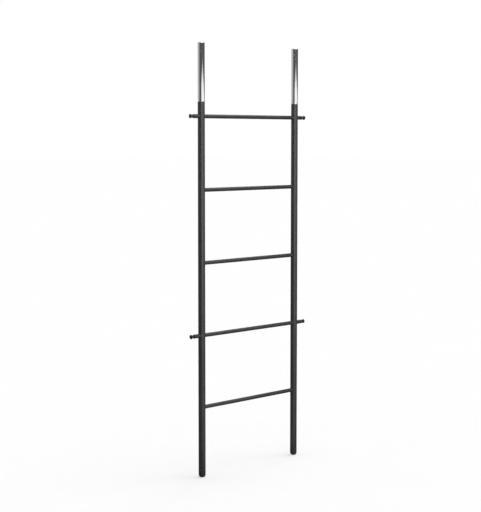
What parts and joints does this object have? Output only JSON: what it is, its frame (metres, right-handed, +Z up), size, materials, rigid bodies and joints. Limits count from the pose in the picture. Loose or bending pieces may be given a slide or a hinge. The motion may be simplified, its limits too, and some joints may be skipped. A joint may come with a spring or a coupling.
{
  "type": "blanket ladder",
  "caption": "Leaning blanket ladder of round black steel tube with thin rungs, grooved hanging pegs, polished tips on the stiles and domed feet.",
  "frame": {"origin": "on the floor, midway between the two feet, in the plane of the stiles", "axes": "+Z up the stiles, +Y to the wall behind the ladder, -X to the left stile as seen from the front"},
  "size_m": [0.584, 0.025, 1.524],
  "materials": {
    "black_powder_coat": "satin black powder coat",
    "black_knob_coat": "satin black coat on turned steel",
    "polished_chrome": "polished",
    "black_rubber": "matte moulded rubber",
    "zinc_plated_steel": "zinc plated",
    "black_oxide_steel": "black oxide"
  },
  "bodies": {
    "root": {"bottom_rung": "black_powder_coat", "fourth_rung": "black_powder_coat", "fourth_rung_left_knob": "black_knob_coat", "fourth_rung_right_knob": "black_knob_coat", "left_foot": "black_rubber", "left_joint_stud": "zinc_plated_steel", "left_stile": "black_powder_coat", "left_stile_plug": "zinc_plated_steel", "left_tip": "polished_chrome", "left_tip_cap": "polished_chrome", "left_tip_plug": "zinc_plated_steel", "right_foot": "black_rubber", "right_joint_stud": "zinc_plated_steel", "right_stile": "black_powder_coat", "right_stile_plug": "zinc_plated_steel", "right_tip": "polished_chrome", "right_tip_cap": "polished_chrome", "right_tip_plug": "zinc_plated_steel", "rung_set_screws": "black_oxide_steel", "second_rung": "black_powder_coat", "third_rung": "black_powder_coat", "top_rung": "black_powder_coat", "top_rung_left_knob": "black_knob_coat", "top_rung_right_knob": "black_knob_coat"}
  },
  "joints": []
}
